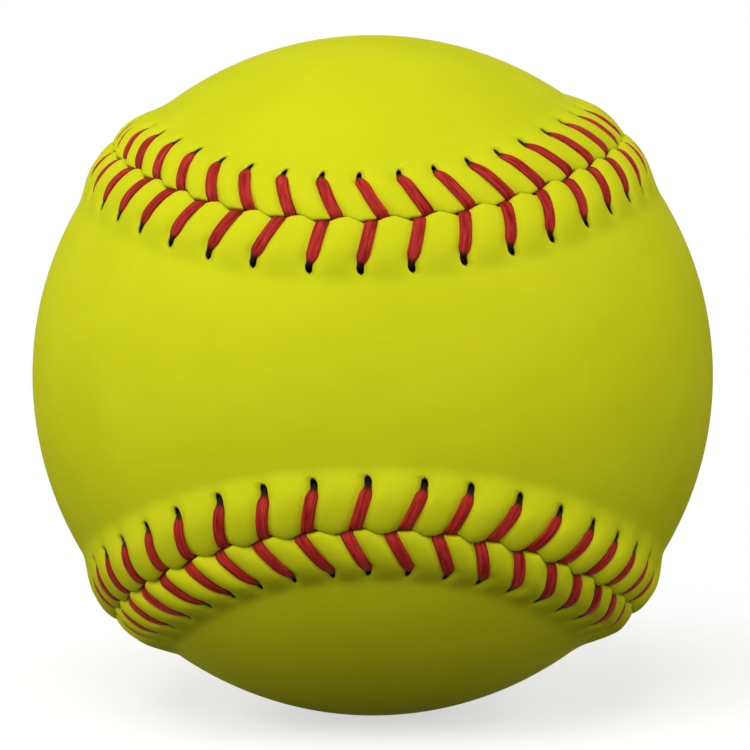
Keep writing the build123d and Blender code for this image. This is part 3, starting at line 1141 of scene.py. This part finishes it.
def leather_material(finishes):
    """Smooth dyed leather with faint grain, and painted shade in its creases and holes."""
    material, tree, shader = new_material("cover_leather")
    link = tree.links.new
    place = object_place(tree)
    dye = mottled(tree, "Dye", place, finishes.leather, finishes.leather_shade, scale=70.0, amount=0.45)
    grain = grained(tree, "Grain", place, cell_scale=1500.0, pore_scale=2600.0)
    soil = add_node(tree, "ShaderNodeAttribute", "Shade Paint", attribute_name="soil")
    pores = ranged(tree, "Faint pores", grain.outputs["Pores"], low=0.0, high=0.10)
    dyed = blended(tree, "Pores", pores, dye.outputs["Colour"], finishes.leather_shade)
    # Painted shade: the crease, the stitch holes and the lining are darkened in the colour.
    shaded = blended(tree, "Painted crease and hole shade", soil.outputs["Fac"], dyed, finishes.soil)
    link(shaded, shader.inputs["Base Color"])
    link(ranged(tree, "Worn sheen", dye.outputs["Value"], low=0.70, high=0.80), shader.inputs["Roughness"])
    bumped(tree, shader, grain.outputs["Height"], strength=0.12, distance=0.05 * MM)
    shader.inputs["Specular IOR Level"].default_value = 0.06
    shader.inputs["Specular Tint"].default_value = (1.0, 1.0, 0.3, 1.0)
    return material


def thread_material(finishes):
    """Waxed red thread with fibres along it, and painted shade where it goes into its holes and the gap."""
    material, tree, shader = new_material("seam_thread")
    link = tree.links.new
    place = add_node(tree, "ShaderNodeAttribute", "Fibre", attribute_name="fibre").outputs["Vector"]
    fibres = mottled(tree, "Fibres", place, finishes.thread, finishes.thread_shade, scale=2.6, amount=1.0)
    tucked = add_node(tree, "ShaderNodeAttribute", "Tucked", attribute_name="tucked")
    # Painted shade: the thread's ends are darkened in the colour where they go into the holes and the gap.
    dark = blended(tree, "Painted shade", tucked.outputs["Fac"], fibres.outputs["Colour"], finishes.soil)
    link(dark, shader.inputs["Base Color"])
    link(ranged(tree, "Wax", fibres.outputs["Value"], low=0.52, high=0.74), shader.inputs["Roughness"])
    bumped(tree, shader, fibres.outputs["Value"], strength=0.35, distance=0.06 * MM)
    shader.inputs["Specular IOR Level"].default_value = 0.08
    return material


def foam_material(finishes):
    """Moulded foam with fine open cells."""
    material, tree, shader = new_material("core_foam")
    link = tree.links.new
    place = object_place(tree)
    shade = darker(finishes.foam, 0.8)
    foam = mottled(tree, "Foam colour", place, finishes.foam, shade, scale=90.0, amount=0.6)
    cells = grained(tree, "Cells", place, cell_scale=1100.0, pore_scale=1600.0)
    link(foam.outputs["Colour"], shader.inputs["Base Color"])
    link(ranged(tree, "Dull", foam.outputs["Value"], low=0.75, high=0.9), shader.inputs["Roughness"])
    bumped(tree, shader, cells.outputs["Height"], strength=0.5, distance=0.2 * MM)
    return material


def cement_material(finishes):
    """Brushed-on latex cement, uneven and a little shiny."""
    material, tree, shader = new_material("cement")
    link = tree.links.new
    place = object_place(tree)
    shade = darker(finishes.cement, 0.7)
    brushed = mottled(tree, "Brush marks", place, finishes.cement, shade, scale=120.0, amount=0.8)
    link(brushed.outputs["Colour"], shader.inputs["Base Color"])
    gloss = ranged(tree, "Uneven gloss", brushed.outputs["Value"], low=0.35, high=0.7)
    link(gloss, shader.inputs["Roughness"])
    bumped(tree, shader, brushed.outputs["Value"], strength=0.4, distance=0.1 * MM)
    return material


def white_light(tree, kind, label, strength):
    """A white emitter or background of a given strength."""
    return add_node(tree, kind, label, Color=(1, 1, 1, 1), Strength=strength).outputs[0]


def chosen_shader(tree, factor, one, other):
    """A shader that goes from one to another by a factor socket."""
    mix = tree.nodes.new("ShaderNodeMixShader")
    tree.links.new(factor, mix.inputs[0])
    tree.links.new(one, mix.inputs[1])
    tree.links.new(other, mix.inputs[2])
    return mix.outputs[0]


def straight_rays(tree):
    """1 for rays from the camera, from glossy surfaces and through glass."""
    path = tree.nodes.new("ShaderNodeLightPath")
    first = add_node(tree, "ShaderNodeMath", "Camera or glossy", operation="MAXIMUM")
    second = add_node(tree, "ShaderNodeMath", "Or through glass", operation="MAXIMUM")
    tree.links.new(path.outputs["Is Camera Ray"], first.inputs[0])
    tree.links.new(path.outputs["Is Glossy Ray"], first.inputs[1])
    tree.links.new(first.outputs[0], second.inputs[0])
    tree.links.new(path.outputs["Is Transmission Ray"], second.inputs[1])
    return second.outputs[0]


def paper_material(studio):
    """Pale floor: white to the camera, with the ball's shadow near it, and darker to bounced light."""
    material, tree, shader = new_material("studio_paper")
    link = tree.links.new
    tree.nodes.remove(shader)
    near = add_node(tree, "ShaderNodeBsdfDiffuse", "Paper", Color=opaque(studio.paper))
    bounce = add_node(
        tree, "ShaderNodeBsdfDiffuse", "Paper for bounced light", Color=opaque([PAPER_BOUNCE] * 3),
    )
    far = white_light(tree, "ShaderNodeEmission", "White distance", 1.0)
    away = add_node(tree, "ShaderNodeVectorMath", "Distance", operation="LENGTH")
    link(object_place(tree), away.inputs[0])
    fade = add_node(
        tree, "ShaderNodeMapRange", "Fade to white", interpolation_type="SMOOTHSTEP",
        From_Min=SHADOW_FADES[0], From_Max=SHADOW_FADES[1],
    )
    link(away.outputs["Value"], fade.inputs["Value"])
    lifted = tree.nodes.new("ShaderNodeAddShader")
    link(near.outputs[0], lifted.inputs[0])
    link(white_light(tree, "ShaderNodeEmission", "White paper", PAPER_GLOW), lifted.inputs[1])
    ground = chosen_shader(tree, fade.outputs["Result"], lifted.outputs[0], far)
    seen = chosen_shader(tree, straight_rays(tree), bounce.outputs[0], ground)
    link(seen, tree.nodes["Material Output"].inputs["Surface"])
    return material


# Stage


def studio_world(studio):
    """Even grey light, seen as white."""
    world = bpy.data.worlds.new("studio")
    world.use_nodes = True
    tree = world.node_tree
    tree.nodes.clear()
    even = white_light(tree, "ShaderNodeBackground", "Even light", studio.ambient)
    white = white_light(tree, "ShaderNodeBackground", "White", 1.0)
    output = tree.nodes.new("ShaderNodeOutputWorld")
    tree.links.new(chosen_shader(tree, straight_rays(tree), even, white), output.inputs["Surface"])
    bpy.context.scene.world = world


def area_lamp(name, place, power):
    """A square lamp that faces the ball."""
    lamp = bpy.data.lights.new(name, "AREA")
    lamp.shape = "SQUARE"
    lamp.size = place.size
    lamp.energy = power
    azimuth = radians(place.azimuth)
    elevation = radians(place.elevation)
    away = Vector((sin(azimuth) * cos(elevation), -cos(azimuth) * cos(elevation), sin(elevation)))
    piece = bpy.data.objects.new(name, lamp)
    piece.location = away * place.distance
    piece.rotation_euler = away.to_track_quat("Z", "Y").to_euler()
    bpy.context.scene.collection.objects.link(piece)


def studio_camera(studio):
    """Camera at the ball's height, turned as in the photograph."""
    data = bpy.data.cameras.new("camera")
    data.sensor_width = SENSOR_WIDTH
    data.lens = studio.lens
    data.shift_x, data.shift_y = (shift / PICTURE_WIDTH for shift in PICTURE_SHIFT)
    data.clip_start = 0.01
    data.clip_end = 20.0
    turn = Euler([radians(angle) for angle in CAMERA_TURN], "ZXY").to_matrix().transposed()
    camera = bpy.data.objects.new("camera", data)
    camera.location = turn @ Vector((0, -studio.camera_distance, 0))
    upright = Euler((pi / 2, 0, 0)).to_matrix()
    camera.rotation_euler = (turn @ upright).to_euler()
    bpy.context.scene.collection.objects.link(camera)
    bpy.context.scene.camera = camera


def studio_floor(studio, height):
    """A wide sheet of paper under the ball."""
    half = FLOOR_HALF_WIDTH
    corners = [(-half, -half, 0), (half, -half, 0), (half, half, 0), (-half, half, 0)]
    mesh = bpy.data.meshes.new("studio_floor")
    mesh.from_pydata(corners, [], [(0, 1, 2, 3)])
    floor = bpy.data.objects.new("studio_floor", mesh)
    floor.location.z = height
    mesh.materials.append(paper_material(studio))
    bpy.context.scene.collection.objects.link(floor)


# Operators


def dress(piece, node, material):
    """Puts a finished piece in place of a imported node."""
    piece.data.materials.append(material)
    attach(piece, "root")
    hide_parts(node)


class BALL_OT_core(Operator):
    """Gives the core and its cement coat their finishes"""

    bl_idname = "ball.finish_core"
    bl_label = "Finish Core"

    def execute(self, context):
        finishes = context.scene.ball_finishes
        for node, material in (("core", foam_material(finishes)), ("cement_coat", cement_material(finishes))):
            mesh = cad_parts[node].data
            mesh.materials.clear()
            mesh.materials.append(material)
        return {"FINISHED"}


class BALL_OT_cover(Operator):
    """Builds the two leather panels with their rolled edges and stitch holes"""

    bl_idname = "ball.build_cover"
    bl_label = "Build Cover"

    def execute(self, context):
        scene = context.scene
        edge = SewnEdge(scene.ball_sizes, scene.ball_seam)
        material = leather_material(scene.ball_finishes)
        for side, node in PANELS.items():
            panel = leather_panel(edge, side)
            dress(panel, node, material)
        return {"FINISHED"}


class BALL_OT_threads(Operator):
    """Builds the two flat threads that cross at each stitch"""

    bl_idname = "ball.build_threads"
    bl_label = "Build Threads"

    def execute(self, context):
        scene = context.scene
        edge = SewnEdge(scene.ball_sizes, scene.ball_seam)
        material = thread_material(scene.ball_finishes)
        for first_side, node in THREADS.items():
            dress(thread_mesh(edge, first_side), node, material)
        return {"FINISHED"}


class BALL_OT_stage(Operator):
    """Sets the floor, the light and the camera"""

    bl_idname = "ball.set_stage"
    bl_label = "Set Stage"

    def execute(self, context):
        scene = context.scene
        studio = scene.ball_studio
        scene.view_settings.view_transform = "Standard"
        studio_world(studio)
        studio_floor(studio, -scene.ball_sizes.diameter / 2)
        for name, place in LAMPS.items():
            area_lamp(name + "_lamp", place, getattr(studio, name + "_power"))
        studio_camera(studio)
        return {"FINISHED"}


class BALL_PT_panel(Panel):
    """Sizes, finishes and steps of the ball"""

    bl_idname = "BALL_PT_panel"
    bl_label = "Sewn Ball"
    bl_space_type = "VIEW_3D"
    bl_region_type = "UI"
    bl_category = "Ball"

    def draw(self, context):
        for setting in GROUPS:
            group = getattr(context.scene, setting)
            box = self.layout.box()
            for name in group.__annotations__:
                box.prop(group, name)
        for operator in STEPS:
            self.layout.operator(operator.bl_idname)


STEPS = (BALL_OT_core, BALL_OT_cover, BALL_OT_threads, BALL_OT_stage)
GROUPS = {
    "ball_sizes": BallSizes,
    "ball_seam": SeamSizes,
    "ball_finishes": BallFinishes,
    "ball_studio": StudioSettings,
}


def register():
    for cls in (*GROUPS.values(), *STEPS, BALL_PT_panel):
        bpy.utils.register_class(cls)
    for name, group in GROUPS.items():
        setattr(bpy.types.Scene, name, PointerProperty(type=group))


def unregister():
    for name in GROUPS:
        delattr(bpy.types.Scene, name)
    for cls in (BALL_PT_panel, *reversed(STEPS), *reversed(GROUPS.values())):
        bpy.utils.unregister_class(cls)


def main():
    register()
    bpy.ops.ball.finish_core()
    bpy.ops.ball.build_cover()
    bpy.ops.ball.build_threads()
    bpy.ops.ball.set_stage()


if __name__ == "__main__":
    main()
